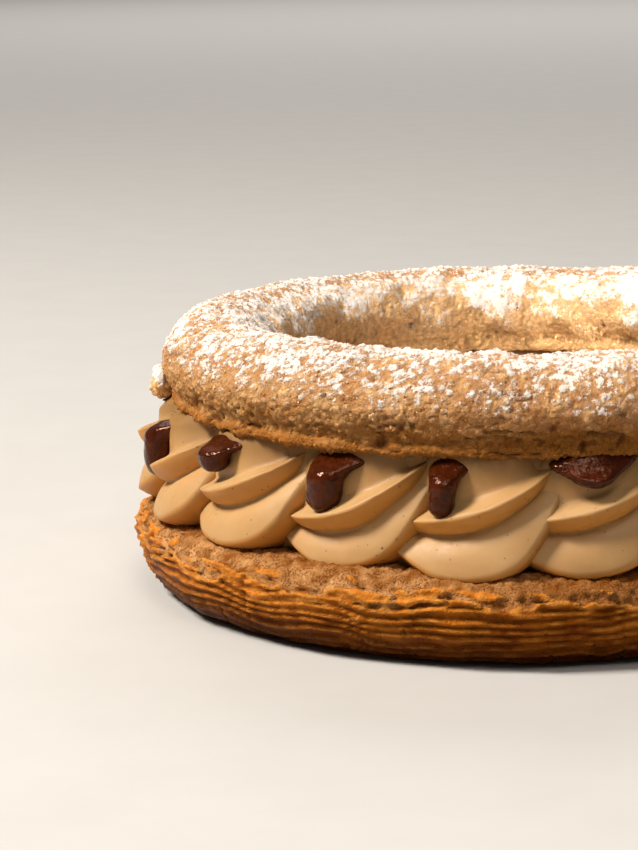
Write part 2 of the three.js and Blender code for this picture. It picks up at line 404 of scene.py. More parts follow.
def torn_patch(azimuth, height):
    """Ragged long patches that run along the ring."""
    patch = noise.noise(ribbon(azimuth, height, along=9, across=3.2))
    return patch + 0.6 * noise.noise(ribbon(azimuth, height + 60, along=2.6, across=1.5))


def torn_strip(azimuth, height, crumb):
    """Strips of torn crust that stay on the crumb, along the ring."""
    strip = smooth(0.2, 0.36, noise.noise(ribbon(azimuth, height + 90, along=10, across=1.7)))
    return strip * (crumb * (1 - smooth(*STRIP_END, height)))


def blister_at(azimuth, height):
    """A few blisters that stand out where the ridges end."""
    spot = noise.voronoi(ribbon(azimuth, height * 0.6 + 20, along=23, across=9))[0][0]
    round_spot = 1 - smooth(0.02, 0.15, spot)
    return round_spot * smooth(*BLISTER_START, height) * (1 - smooth(*BLISTER_END, height))


def crack_across(azimuth, height):
    """Short cracks that cross the ridges here and there."""
    line = abs(noise.noise(ribbon(azimuth, height + 40, along=5, across=26)))
    region = noise.noise(ribbon(azimuth, height, along=16, across=7))
    return (1 - smooth(0.01, 0.06, line)) * smooth(0.05, 0.3, region)


def base_crust(place, normal):
    """Piping ridges low on the flank, torn crust above them and bare crumb towards the cut. The
    underside stays flat."""
    azimuth, out, height = azimuth_of(place), out_of(place), place.z
    side = 1 if out > 0 else -1
    ridge = ridge_profile(ridge_phase(azimuth, side, height))
    strength = 1 + 0.7 * noise.noise(ribbon(azimuth, height + 15, along=13, across=6))
    bare = (height - CRUST_TOP) / CRUST_FADE + 0.9 * torn_patch(azimuth, height) - 0.3 * ridge
    crumb = smooth(0.1, 0.3, bare)
    edge = smooth(-0.25, 0.1, bare) * (1 - smooth(0.2, 0.42, bare))
    strip = torn_strip(azimuth, height, crumb)
    blister = blister_at(azimuth, height)
    cross = crack_across(azimuth, height)
    rise = RIDGE_DEPTH * strength * (ridge - 0.4) * (1 - crumb) * (1 - 0.7 * blister)
    rise += crumb * (waves(place, CRUMB_WAVES) - CRUMB_DEPTH) + EDGE_RISE * edge + STRIP_RISE * strip
    rise += 0.12 * lumps(place, 1.3) + BLISTER_RISE * blister - CRACK_DEPTH * cross
    marks = {
        "crumb": crumb * (1 - strip),
        # Marks for painted light: groove_shade is painted shade in grooves and cracks, crest a painted
        # highlight on the ridges' crests.
        "groove_shade": max((1 - ridge) ** 1.5, 0.8 * cross) * (1 - crumb),
        "crest": smooth(0.72, 1, ridge) * (1 - crumb),
        "blister": blister,
        "edge": max(edge, 0.8 * strip),
        # Painted shade on the right side of the ring, away from the light.
        "shade": smooth(-0.45, 0.2, math.sin(azimuth)),
    }
    return rise * smooth(0.1, 1.5, height), marks


def make_base():
    cut = [(CUT_HALF * (1 - i / CUT_STEPS), BASE_HEIGHT) for i in range(1, CUT_STEPS + 1)]
    outline = closed_outline(base_side(), BASE_SPACINGS, cut, FOOT_HALF, 0)
    bm = spun_ring(outline, CRUST_STEPS, CRUST_CUTS)
    emboss(bm, base_form)
    emboss(bm, base_crust)
    return finished("base_crust", bm, crust_material(), "base")


# ---------------------------------------------------------------- lid

# Height where the lid is widest.
LID_MIDDLE = mix(LID_BOTTOM, LID_TOP, 0.44)


def lid_side():
    """Outer side of the lid's section, from its cut past the lip up to the crown."""
    lip = [
        (CUT_HALF, LID_BOTTOM),
        (CUT_HALF + 0.9 * LIP, LID_BOTTOM + 0.6 * LIP),
        (CUT_HALF + 0.95 * LIP, LID_BOTTOM + 1.5 * LIP),
        (CUT_HALF + 0.7 * LIP, LID_BOTTOM + 2.3 * LIP),
        (mix(CUT_HALF + 0.7 * LIP, LID_HALF, 0.6), LID_BOTTOM + 3.7 * LIP),
    ]
    return lip + arc((0, LID_MIDDLE), (LID_HALF, LID_TOP - LID_MIDDLE), range(0, 91, 10))


def lid_form(place, normal):
    """Large unevenness of the puffed lid: its inner wall is the lumpiest."""
    azimuth, out, height = azimuth_of(place), out_of(place), place.z
    inside = smooth(-2, -9, out)
    rise = waves(place, [(high + more * inside, wide) for high, more, wide in LID_WAVES])
    above = height - LID_BOTTOM
    torn = 1 - 0.7 * smooth(-0.7, 0.1, math.sin(azimuth))
    ragged = noise.noise(ribbon(azimuth, 30, along=7, across=4))
    ragged += 0.7 * noise.noise(ribbon(azimuth, 40, along=2.4, across=4))
    lip = 1 - smooth(1.0 * LIP, 2.2 * LIP, above)
    return rise * smooth(-0.1, 1.5, above) + lip * torn * (0.9 * ragged + 0.3), {}


def dust_cover(place, normal, azimuth):
    """How much icing sugar lies on the lid: most on top and on the left, least low down."""
    left = smooth(0.3, 1.0, -math.sin(azimuth))
    far = smooth(-0.3, 0.8, -math.cos(azimuth))
    thick = max(left, 0.5 * far)
    start, full, most = (mix(thin, much, thick) for thin, much in zip(THIN_SUGAR, THICK_SUGAR))
    cover = most * smooth(start, full, normal.z)
    patchy = waves(place, SUGAR_WAVES)
    above = place.z - LID_BOTTOM
    return max(cover * (1 + patchy) + 0.1 * patchy, 0) * smooth(3.5, 8, above)


def fissure_at(place, azimuth, tilt, low_band):
    """Fissures that run mostly along the ring, in some regions, thickest above the lip."""
    across = tilt * LID_HALF + 0.8 * lumps(place, 4)
    line = abs(noise.noise(ribbon(azimuth, across, along=9, across=2.9) + Vector((3.1, 1.7, 8.2))))
    region = smooth(-0.05, 0.35, noise.noise(place / 19 + Vector((5, 2, 9))) + 0.5 * low_band)
    return (1 - smooth(0.01, 0.08 + 0.07 * low_band, line)) * region


def wall_sugar(place, azimuth, above, inside):
    """Sugar on the inner wall: a trace all over, and patches everywhere but at the left."""
    sifted = smooth(-0.6, 0.1, math.sin(azimuth))
    return inside * (0.3 * smooth(-0.1, 0.4, lumps(place, 10)) * sifted + 0.05) * smooth(2, 7, above)


def lid_crust(place, normal):
    """Granular craquelin: grains, fissures, pits, a torn lip and the sugar on top."""
    azimuth, out, height = azimuth_of(place), out_of(place), place.z
    tilt = math.atan2(height - LID_MIDDLE, out)
    above = height - LID_BOTTOM
    inside = smooth(0.2, 0.8, -math.cos(tilt)) * (1 - smooth(0.75, 1, math.sin(tilt)))
    rough = 1 - 0.5 * inside
    grains = stones(place, STONE)
    small = stones(place, 0.55 * STONE)
    rise = rough * (STONE_RISE * grains + SMALL_STONE_RISE * small - STONE_SINK)
    band_height, band_half = FISSURE_BAND
    low_band = math.exp(-((above - band_height) / band_half) ** 2) * (1 - inside)
    fissure = fissure_at(place, azimuth, tilt, low_band)
    pit = 1 - smooth(0.06, 0.17, noise.voronoi(place / PIT_SPACING)[0][0])
    rise -= rough * (FISSURE_DEPTH * (1 + 0.5 * low_band) * fissure + PIT_DEPTH * pit)
    lip = 1 - smooth(1.1 * LIP, 2.3 * LIP, above + 1.1 * lumps(place, 3))
    # Painted shade on the right side, away from the light: a stronger bake_and_shade and a less golden
    # lip there.
    right = smooth(-0.9, 0.3, math.sin(azimuth))
    # Inside the ring the bake_and_shade is mostly lifted, part of the inner wall's painted light.
    bake_and_shade = mix(0.5, 1.4, right) * (1 - 0.85 * inside)
    cover = dust_cover(place, normal, azimuth) * (0.55 + 0.45 * grains + 0.2 * small)
    cover += wall_sugar(place, azimuth, above, inside)
    marks = {
        "crack": max(fissure * rough, pit),
        "crease": (1 - grains) * rough,
        "inside": inside,
        "lip": lip * (1 - inside) * (1 - 0.6 * right),
        "bake_and_shade": min(1.2, bake_and_shade * (1 - smooth(2, 17, above + 4 * lumps(place, 6)))),
        "sugar": min(max(cover, 0), 1),
    }
    return rise, marks


def make_lid(material):
    outline = closed_outline(lid_side(), LID_SPACINGS, [], CUT_HALF, LID_BOTTOM)
    bm = spun_ring(outline, CRUST_STEPS, CRUST_CUTS)
    emboss(bm, lid_form)
    emboss(bm, lid_crust)
    return finished("lid_crust", bm, material, "lid")


def flake_relief(place, normal):
    """Grainy and ragged, sugared above and golden below, where the inner wall's painted light shows."""
    grains = stones(place, STONE)
    rise = 1.9 * lumps(place, 3.4) + 0.5 * (grains - 0.5)
    high = (place.z - FLAKE_PLACE[2]) / FLAKE_HALF[2]
    sugar = smooth(-0.3, 0.7, high + 0.5 * lumps(place, 2)) * 0.9
    marks = {
        # The whole flake takes the inner wall's painted light.
        "crack": 0, "crease": 0.6 * (1 - grains), "inside": 1,
        "lip": 0.25 * (1 - smooth(-0.6, 0, high)), "bake_and_shade": 0, "sugar": sugar,
    }
    return rise, marks


def make_flake(material):
    azimuth, out, height = FLAKE_PLACE
    bm = bmesh.new()
    bmesh.ops.create_icosphere(bm, subdivisions=5, radius=1)
    bmesh.ops.scale(bm, vec=FLAKE_HALF, verts=bm.verts)
    bmesh.ops.translate(bm, vec=(0, -RING_RADIUS - out, height), verts=bm.verts)
    turn = Matrix.Rotation(math.radians(azimuth), 3, "Z")
    bmesh.ops.rotate(bm, cent=(0, 0, 0), matrix=turn, verts=bm.verts)
    emboss(bm, flake_relief)
    return finished("crust_flake", bm, material, "lid")


# ---------------------------------------------------------------- ropes of cream and praline

def rope_frames(path, rows):
    """Middle, outward and upward directions and thickness of a rope at each of its rows."""
    points = [Vector(point) for point in path]
    frames = []
    for row in range(rows + 1):
        here = on_curve(points, row / rows)
        ahead = on_curve(points, (row + 0.05) / rows) - on_curve(points, (row - 0.05) / rows)
        forward = ahead.to_3d().normalized()
        out = Vector((0, 1, 0)) - forward * forward.y
        out.normalize()
        frames.append((here.to_3d(), out, forward.cross(out), max(0, here.w)))
    return frames


def ball_mesh(rows, columns):
    """Unit ball whose rows and columns a rope is shaped from. Its faces point in, because the
    wrap round the ring mirrors them."""
    bm = bmesh.new()
    bmesh.ops.create_uvsphere(bm, u_segments=columns, v_segments=rows, radius=1)
    bmesh.ops.reverse_faces(bm, faces=bm.faces)
    mesh = bpy.data.meshes.new("ball")
    bm.to_mesh(mesh)
    bm.free()
    return mesh


def add_rope(bm, ball, path, section, wrap, rows):
    """Rope along a path laid beside the ring: a ball's rows follow it and its poles close
    the two ends. It is shaped with the ring unrolled flat, and wrap puts it round the ring."""
    frames = rope_frames(path, rows)
    count = len(bm.verts)
    bm.from_mesh(ball)
    bm.verts.ensure_lookup_table()
    for vert in bm.verts[count:]:
        along = math.acos(min(max(-vert.co.z, -1), 1)) / math.pi
        turn = (math.atan2(vert.co.y, vert.co.x) / math.tau) % 1
        middle, out, up, thickness = frames[round(along * rows)]
        angle, reach = section(turn, along)
        reach *= thickness
        vert.co = wrap(middle + out * reach * math.cos(angle) + up * reach * math.sin(angle))


def tooth_at(count, along, petal):
    """Angle in degrees and reach of one tooth at a share of the way along a loop. The lowest
    tooth starts high, comes down to its petal, and moves in and up again late."""
    angle, reach, late_angle, late_reach = TEETH[count % len(TEETH)][:4]
    late = smooth(LATE_FROM, LATE_TO, along)
    angle = mix(angle, late_angle, late) + 360 * (count // len(TEETH))
    reach = mix(reach, late_reach, late)
    if count % len(TEETH) == 0:
        angle += TIP_LIFT * (1 - smooth(TIP_FROM, TIP_TO, along))
        reach *= mix(petal, 1, late)
    return angle, reach


def toothed_section(petal):
    """Section of the star nozzle, sharp at each tooth and hollow between, as a function that
    gives its angle and reach. Petal makes the lowest tooth longer or shorter."""
    def section(turn, along):
        step = (turn % 1) * len(TEETH)
        count = min(int(step), len(TEETH) - 1)
        share = step - count
        depth, lean, sharpness = TEETH[count][4:]
        start, reach = tooth_at(count, along, petal)
        end, after = tooth_at(count + 1, along, petal)
        across = share * 2 * lean if share < 0.5 else 1 - (1 - share) * 2 * (1 - lean)
        hollow = depth * (1 - abs(1 - 2 * share) ** sharpness)
        return math.radians(mix(start, end, across)), mix(reach, after, across) * (1 - hollow)

    return section


def wrapped_round(azimuth, side):
    """Puts a place of the unrolled ring round it, outside (side 1) or inside (side -1)."""
    face_radius = RING_RADIUS + side * FACE_OFFSET

    def wrap(place):
        turned = math.radians(azimuth) + side * place.x / face_radius
        radius = RING_RADIUS + side * place.y
        return Vector((radius * math.sin(turned), -radius * math.cos(turned), place.z))

    return wrap


def loop_azimuth(loop):
    """Azimuth of a loop in degrees: the loops crowd and spread a little."""
    even = 360 / LOOPS
    return FIRST_LOOP + even * loop + LOOP_DRIFT * math.cos(math.radians(26 + 3 * even * loop))


def left_bulge(loop):
    """How far a loop is squeezed out."""
    return LEFT_BULGE * max(0, math.cos(math.radians(loop_azimuth(loop) - BULGE_AZIMUTH))) ** 2


def loop_path(loop):
    """Path of one loop: each differs a little in thickness, height and lean."""
    size = 1 + SIZE_SWING * math.sin(2.3 * loop + 0.7)
    lift = PETALS[loop % len(PETALS)][1]
    path = []
    for s, d, z, thickness in LOOP_PATH:
        early = 1 - smooth(4, 20, s)
        bulge = left_bulge(loop) * thickness * early
        waver = WAVER * math.sin(0.13 * s + loop)
        path.append((s, d + bulge + waver, z + lift * early, thickness * size))
    return path


def cream_relief(place, normal):
    """Hand-piped unevenness: soft waves, and fine drag lines from the nozzle."""
    drag = noise.noise(ribbon(azimuth_of(place), place.z, along=9, across=0.9))
    rise = waves(place, CREAM_WAVES) + 0.05 * drag
    marks = {
        # Painted shade: undersides are tinted a deeper orange.
        "under": smooth(-0.2, 0.45, -normal.z),
        # Painted shadow of the lid, darkening the cream close under it.
        "lid_shadow": smooth(CREAM_TOP - 9, CREAM_TOP - 1, place.z),
    }
    return rise, marks


def make_cream_row(name, side, half_step, mesh_size, material):
    bm = bmesh.new()
    ball = ball_mesh(*mesh_size)
    for loop in range(LOOPS):
        wrap = wrapped_round(loop_azimuth(loop) + half_step, side)
        section = toothed_section(PETALS[loop % len(PETALS)][0])
        add_rope(bm, ball, loop_path(loop), section, wrap, mesh_size[0])
    trim_to_layer(bm)
    emboss(bm, cream_relief)
    return finished(name, bm, material, "cream")


def trim_to_layer(bm):
    """Presses whatever rises past the lid's cut flat against it, and slopes it off outside."""
    for vert in bm.verts:
        past = max(0, abs(out_of(vert.co)) - CUT_HALF)
        vert.co.z = min(vert.co.z, CREAM_TOP + PRESS - PRESS_SLOPE * past)


def make_cream_core(material):
    bottom = BASE_HEIGHT - CORE_SINK
    outline = [(CORE_HALF, bottom), (CORE_HALF, CREAM_TOP), (-CORE_HALF, CREAM_TOP), (-CORE_HALF, bottom)]
    bm = spun_ring(outline, PLAIN_STEPS)
    return finished("cream_core", bm, material, "cream")


def make_cream():
    material = cream_material()
    make_cream_row("cream_outside", 1, 0, OUTSIDE_MESH, material)
    make_cream_row("cream_inside", -1, 180 / LOOPS, INSIDE_MESH, material)
    make_cream_core(material)


def round_section(turn, along):
    return turn * math.tau, DROP_THICKNESS


def drop_wrap(loop):
    """Puts a drop in its loop's notch at its own size: it flares out under the lid."""
    wrap = wrapped_round(loop_azimuth(loop), 1)
    width, length, shift, lift = DROPS[loop % len(DROPS)]
    top = DROP_PATH[0][2]
    bulge = left_bulge(loop)

    def spread(place):
        height = top + (place.z - top) * length + lift
        under = smooth(top - 4, top, height)
        along = DROP_MIDDLE + (place.x - DROP_MIDDLE) * width * (1 + DROP_FLARE * under) + shift
        return wrap(Vector((along, place.y + bulge * (1 - under) - DROP_TUCK * under, height)))

    return spread


def praline_relief(place, normal):
    return waves(place, PRALINE_WAVES), {}


def make_praline():
    outer = [
        (BEAD_HALF, CREAM_TOP - BEAD_DEPTH),
        (BEAD_HALF + BEAD_BELLY, CREAM_TOP - BEAD_DEPTH / 2),
        (BEAD_HALF, CREAM_TOP + BEAD_PRESS),
    ]
    inner = [(-out, height) for out, height in reversed(outer)]
    bm = spun_ring(outer + inner, PLAIN_STEPS, 1)
    ball = ball_mesh(*DROP_MESH)
    for loop in range(LOOPS):
        add_rope(bm, ball, DROP_PATH, round_section, drop_wrap(loop), DROP_MESH[0])
    emboss(bm, praline_relief)
    return finished("praline_drops", bm, praline_material(), "praline")


# ---------------------------------------------------------------- loose grains

def lump_mesh(seed, flatness):
    """Small angular lump about a unit wide, as arrays of corners and triangles."""
    rng = random.Random(seed)
    bm = bmesh.new()
    bmesh.ops.create_icosphere(bm, subdivisions=1, radius=0.5)
    for vert in bm.verts:
        vert.co *= rng.uniform(*LUMP_REACH)
        vert.co.z *= flatness
    corners = np.array([vert.co for vert in bm.verts])
    triangles = np.array([[vert.index for vert in face.verts] for face in bm.faces])
    bm.free()
    return corners, triangles


def surface_points(piece, count, weight, seed):
    """Places on a piece's faces, picked at random by area times weight(marks, normal). Each face
    has its own luck, so that a tiny change of one doesn't move the others."""
    mesh = piece.data
    faces = len(mesh.polygons)
    centre = np.empty(faces * 3)
    normal = np.empty(faces * 3)
    area = np.empty(faces)
    first = np.empty(faces, int)
    mesh.polygons.foreach_get("center", centre)
    mesh.polygons.foreach_get("normal", normal)
    mesh.polygons.foreach_get("area", area)
    mesh.polygons.foreach_get("loop_start", first)
    corner = np.empty(len(mesh.loops), int)
    mesh.loops.foreach_get("vertex_index", corner)
    marks = {}
    for attribute in mesh.attributes:
        if attribute.data_type == "FLOAT" and attribute.domain == "POINT":
            values = np.empty(len(mesh.vertices))
            attribute.data.foreach_get("value", values)
            marks[attribute.name] = values[corner[first]]
    normal = normal.reshape(-1, 3)
    chance = np.maximum(area * weight(marks, normal), NO_CHANCE)
    luck = np.random.default_rng(seed).random(faces)
    chosen = np.sort(np.argsort(np.log(luck) / chance)[-count:])
    kept = {name: values[chosen] for name, values in marks.items()}
    return centre.reshape(-1, 3)[chosen], normal[chosen], kept


def scattered(name, places, sizes, seed, flatness, sunk, material, node):
    """One joined mesh of many small lumps lying on a surface, each turned its own way."""
    centres, normals, marks = places
    rng = np.random.default_rng(seed)
    kinds = [lump_mesh(seed + kind, flatness) for kind in range(LUMP_KINDS)]
    size = len(kinds[0][0])
    corners, triangles = [], []
    for i, (centre, normal) in enumerate(zip(centres, normals)):
        shape, faces = kinds[i % len(kinds)]
        spread = sizes[0] + (sizes[1] - sizes[0]) * rng.random() ** 2
        turn = np.array(Vector(normal).to_track_quat("Z", "Y").to_matrix())
        spin = np.array(Matrix.Rotation(rng.random() * math.tau, 3, "Z"))
        moved = (shape * spread * MM) @ (turn @ spin).T
        corners.append(moved + centre + normal * (0.5 * flatness - sunk) * spread * MM)
        triangles.append(faces + size * i)
    mesh = bpy.data.meshes.new(name)
    mesh.from_pydata(np.concatenate(corners).tolist(), [], np.concatenate(triangles).tolist())
    for mark, values in marks.items():
        mesh.attributes.new(mark, "FLOAT", "POINT").data.foreach_set("value", np.repeat(values, size))
    tone = mesh.attributes.new("tone", "FLOAT", "POINT")
    tone.data.foreach_set("value", np.repeat(rng.random(len(centres)), size))
    return placed(name, mesh, material, node, rounded=False)


def make_grains(lid, material):
    def weight(marks, normal):
        outer = 1 - 0.75 * marks["inside"]
        return outer * (1 - marks["crack"]) * (normal[:, 2] > -0.6)

    places = surface_points(lid, GRAINS, weight, GRAIN_SEEDS[0])
    return scattered(
        "crust_grains", places, GRAIN_SIZES, GRAIN_SEEDS[1], GRAIN_FLATNESS, GRAIN_SUNK,
        material, "lid",
    )


def make_sugar(lid):
    def weight(marks, normal):
        return marks["sugar"] ** 1.5 * (normal[:, 2] > 0.05)

    places = surface_points(lid, SUGAR_CLUMPS, weight, SUGAR_SEEDS[0])
    return scattered(
        "icing_sugar", places, SUGAR_SIZES, SUGAR_SEEDS[1], SUGAR_FLATNESS, SUGAR_SUNK,
        sugar_material(), "lid",
    )


# ---------------------------------------------------------------- material helpers

class Sketch:
    """Short way to add nodes to a node tree and to wire them."""

    def __init__(self, tree):
        self.tree = tree

    def wire(self, node, values):
        """Gives inputs of a node their values, or links those whose value is a socket."""
        for name, value in values.items():
            if isinstance(value, bpy.types.NodeSocket):
                self.tree.links.new(value, node.inputs[name])
            else:
                node.inputs[name].default_value = value

    def add(self, kind, inputs=None, **settings):
        made = self.tree.nodes.new(kind)
        for name, value in settings.items():
            setattr(made, name, value)
        self.wire(made, inputs or {})
        return made

    def math(self, operation, *values):
        return self.add("ShaderNodeMath", dict(enumerate(values)), operation=operation).outputs[0]

    def times(self, a, b):
        return self.math("MULTIPLY", a, b)

    def plus(self, a, b):
        return self.math("ADD", a, b)

    def minus(self, a, b):
        return self.math("SUBTRACT", a, b)

    def most(self, a, b):
        return self.math("MAXIMUM", a, b)

    def vector(self, operation, a, b):
        return self.add("ShaderNodeVectorMath", {0: a, 1: b}, operation=operation).outputs[0]

    def mix(self, factor, low, high):
        """Colour between low and high: inputs 6 and 7 and output 2 are the node's colours."""
        return self.add("ShaderNodeMix", {0: factor, 6: low, 7: high}, data_type="RGBA").outputs[2]

    def step(self, value, low, high, start=0.0, end=1.0):
        inputs = {"Value": value, "From Min": low, "From Max": high, "To Min": start, "To Max": end}
        return self.add("ShaderNodeMapRange", inputs, interpolation_type="SMOOTHSTEP").outputs[0]

    def noise(self, place, size, detail=2.0, roughness=0.5, output="Fac"):
        """Noise whose features are about size millimetres wide."""
        inputs = {"Vector": place, "Detail": detail, "Roughness": roughness, "Scale": self.scale(size)}
        return self.add("ShaderNodeTexNoise", inputs).outputs[output]

    def cells(self, place, size):
        """Distance to the middle of the nearest cell, in cells."""
        inputs = {"Vector": place, "Scale": self.scale(size)}
        return self.add("ShaderNodeTexVoronoi", inputs, feature="F1").outputs["Distance"]

    def scale(self, size):
        """Scale of a pattern whose features are about size millimetres wide."""
        if isinstance(size, bpy.types.NodeSocket):
            return self.math("DIVIDE", 1 / MM, size)
        return 1 / (MM * size)

    def mark(self, name):
        return self.add("ShaderNodeAttribute", attribute_name=name).outputs["Fac"]

    def place(self):
        return self.add("ShaderNodeTexCoord").outputs["Object"]

    def bump(self, height, distance):
        """Normal of a relief that is distance millimetres deep."""
        inputs = {"Height": height, "Distance": distance * MM, "Strength": 1.0}
        return self.add("ShaderNodeBump", inputs).outputs["Normal"]

    def use(self, group, inputs):
        """Outputs of a node group that is placed with its own values."""
        return self.add("ShaderNodeGroup", inputs, node_tree=group).outputs


def new_group(name, inputs, outputs):
    """Node group with the named sockets: gives it, its sketch, its inputs and its output node."""
    group = bpy.data.node_groups.new(name, "ShaderNodeTree")
    for label, kind in inputs.items():
        group.interface.new_socket(label, in_out="INPUT", socket_type="NodeSocket" + kind)
    for label, kind in outputs.items():
        group.interface.new_socket(label, in_out="OUTPUT", socket_type="NodeSocket" + kind)
    sketch = Sketch(group)
    given = sketch.add("NodeGroupInput").outputs
    result = sketch.add("NodeGroupOutput")
    return group, sketch, given, result


def new_material(name):
    """Material with its sketch and its surface shader."""
    material = bpy.data.materials.new(name)
    material.use_nodes = True
    shader = material.node_tree.nodes["Principled BSDF"]
    return material, Sketch(material.node_tree), shader


def mottling_group():
    """Two colours blended in soft patches of a given size."""
    inputs = {"Place": "Vector", "Size": "Float", "Low": "Color", "High": "Color", "Contrast": "Float"}
    group, sketch, given, result = new_group("mottling", inputs, {"Colour": "Color"})
    cloud = sketch.noise(given["Place"], given["Size"], 5.0, 0.6)
    reach = sketch.math("DIVIDE", 0.5, given["Contrast"])
    low = sketch.minus(0.5, reach)
    high = sketch.plus(0.5, reach)
    share = sketch.step(cloud, low, high)
    colour = sketch.mix(share, given["Low"], given["High"])
    sketch.wire(result, {"Colour": colour})
    return group


def grain_group():
    """Fine baked grain: a height for bumps, and a mask of the darker creases between grains."""
    inputs = {"Place": "Vector", "Size": "Float"}
    group, sketch, given, result = new_group("grain", inputs, {"Height": "Float", "Crease": "Float"})
    drift = sketch.noise(given["Place"], given["Size"], output="Color")
    drift = sketch.vector("MULTIPLY", drift, [GRAIN_DRIFT * MM] * 3)
    place = sketch.vector("ADD", given["Place"], drift)
    cell = sketch.cells(place, given["Size"])
    fine = sketch.noise(place, given["Size"], 6.0, 0.7)
    dome = sketch.step(cell, 0.0, 0.75, 1.0, 0.0)
    height = sketch.plus(sketch.times(dome, 0.6), sketch.times(fine, 1.3))
    crease = sketch.step(height, 0.45, 0.95, 1.0, 0.0)
    sketch.wire(result, {"Height": height, "Crease": crease})
    return group


def dusting_group():
    """Fine powder that covers a surface in flecks with a thin haze between: its mask, and a
    height."""
    inputs = {"Place": "Vector", "Cover": "Float", "Fleck": "Float"}
    group, sketch, given, result = new_group("dusting", inputs, {"Mask": "Float", "Height": "Float"})
    fleck = sketch.noise(given["Place"], given["Fleck"], 4.0, 0.65)
    patch = sketch.noise(given["Place"], sketch.times(given["Fleck"], 3.2), 3.0, 0.6)
    texture = sketch.plus(sketch.times(fleck, 0.5), sketch.times(patch, 0.5))
    bar = sketch.step(given["Cover"], 0.0, 1.0, 0.68, 0.34)
    over = sketch.minus(texture, bar)
    haze = sketch.times(sketch.step(fleck, 0.3, 0.65, 0.0, 0.3), given["Cover"])
    mask = sketch.most(sketch.step(over, -0.06, 0.08), haze)
    shown = sketch.times(mask, sketch.step(given["Cover"], 0.0, 0.15))
    height = sketch.times(shown, sketch.plus(fleck, 0.2))
    sketch.wire(result, {"Mask": shown, "Height": height})
    return group


def speck_group():
    """Sparse round specks, 1 inside a speck. Width is a share of the spacing."""
    inputs = {"Place": "Vector", "Spacing": "Float", "Width": "Float"}
    group, sketch, given, result = new_group("specks", inputs, {"Mask": "Float"})
    cell = sketch.cells(given["Place"], given["Spacing"])
    mask = sketch.step(cell, sketch.times(given["Width"], 0.6), given["Width"], 1.0, 0.0)
    sketch.wire(result, {"Mask": mask})
    return group


def pore_group():
    """Clustered ragged pores of torn crumb: 1 inside a pore."""
    inputs = {"Place": "Vector", "Size": "Float"}
    group, sketch, given, result = new_group("pores", inputs, {"Mask": "Float"})
    fine = sketch.noise(given["Place"], given["Size"], 3.0, 0.6)
    cluster = sketch.noise(given["Place"], sketch.times(given["Size"], 6.0), 2.0)
    hole = sketch.step(fine, 0.38, 0.48, 1.0, 0.0)
    mask = sketch.times(hole, sketch.step(cluster, 0.38, 0.56))
    sketch.wire(result, {"Mask": mask})
    return group


MOTTLING = mottling_group()
GRAIN = grain_group()
DUSTING = dusting_group()
SPECKS = speck_group()
PORES = pore_group()


# ---------------------------------------------------------------- materials

CRUST_PAINTED_SHADE = (0.03, 0.0045, 0.0006, 1)
CRUST_BROWN = (0.18, 0.037, 0.003, 1)
CRUST_GOLD = (0.58, 0.175, 0.016, 1)
CRUST_PALE = (0.80, 0.35, 0.07, 1)
CRUMB_PALE = (0.55, 0.285, 0.11, 1)
CRUMB_BROWN = (0.20, 0.062, 0.009, 1)
LID_BROWN = (0.46, 0.19, 0.04, 1)
LID_TAN = (0.75, 0.44, 0.165, 1)
LID_GOLD_LIT = (0.98, 0.62, 0.28, 1)
LID_BAKED_AND_SHADED = (0.22, 0.068, 0.004, 1)
LID_CRACK = (0.17, 0.06, 0.014, 1)
LID_CREASE = (0.27, 0.10, 0.022, 1)
LIP_GOLD = (0.46, 0.155, 0.017, 1)
SUGAR_WHITE = (0.86, 0.80, 0.75, 1)
CREAM_LIGHT = (0.44, 0.26, 0.106, 1)
CREAM_DEEP = (0.39, 0.208, 0.07, 1)
CREAM_UNDERSIDE_SHADE = (0.50, 0.20, 0.022, 1)
CREAM_LID_SHADOW = (0.19, 0.088, 0.016, 1)
SPECK_BROWN = (0.17, 0.075, 0.026, 1)
PRALINE_DARK = (0.022, 0.004, 0.001, 1)
PRALINE_RED = (0.058, 0.009, 0.0016, 1)
SUGAR_CREAMY = (0.78, 0.68, 0.58, 1)
FLOOR_DARK = (0.43, 0.41, 0.385, 1)
FLOOR_PALE = (0.46, 0.44, 0.415, 1)
# Tints of the gloss, and how far light goes under the surface, by colour.
CRUST_GLOSS = (1, 0.52, 0.2, 1)
LID_GLOSS = (1, 0.75, 0.5, 1)
PRALINE_GLOSS = (1, 0.62, 0.44, 1)
CREAM_GLOW, CREAM_GLOW_DEPTH = (1.0, 0.55, 0.3), 2 * MM
SUGAR_GLOW, SUGAR_GLOW_DEPTH = (1.0, 0.9, 0.8), 0.5 * MM


def baked_colour(sketch, place, height, pale):
    """Brown and golden crust, with painted shade towards the foot and in the grooves between ridges, and
    a painted highlight on crests.
    """
    mottle = sketch.use(MOTTLING, {
        "Place": place, "Size": 8.0, "Low": CRUST_BROWN, "High": CRUST_GOLD, "Contrast": 2.2,
    })["Colour"]
    # Painted shade: darker towards the foot, where the ring meets the floor.
    foot_shade = sketch.step(height, 0.0, FOOT_SHADE_TOP * MM, 0.94, 0.0)
    # Painted shade also fills the grooves and cracks between ridges.
    dark = sketch.most(foot_shade, sketch.times(sketch.mark("groove_shade"), 0.75))
    crust = sketch.mix(dark, mottle, CRUST_PAINTED_SHADE)
    light = sketch.times(sketch.minus(1.0, foot_shade), 0.75)
    # Painted highlight: crests are lightened to the pale crust colour, less near the foot.
    crust = sketch.mix(sketch.times(sketch.mark("crest"), light), crust, pale)
    return sketch.mix(sketch.times(sketch.mark("edge"), 0.6), crust, pale)


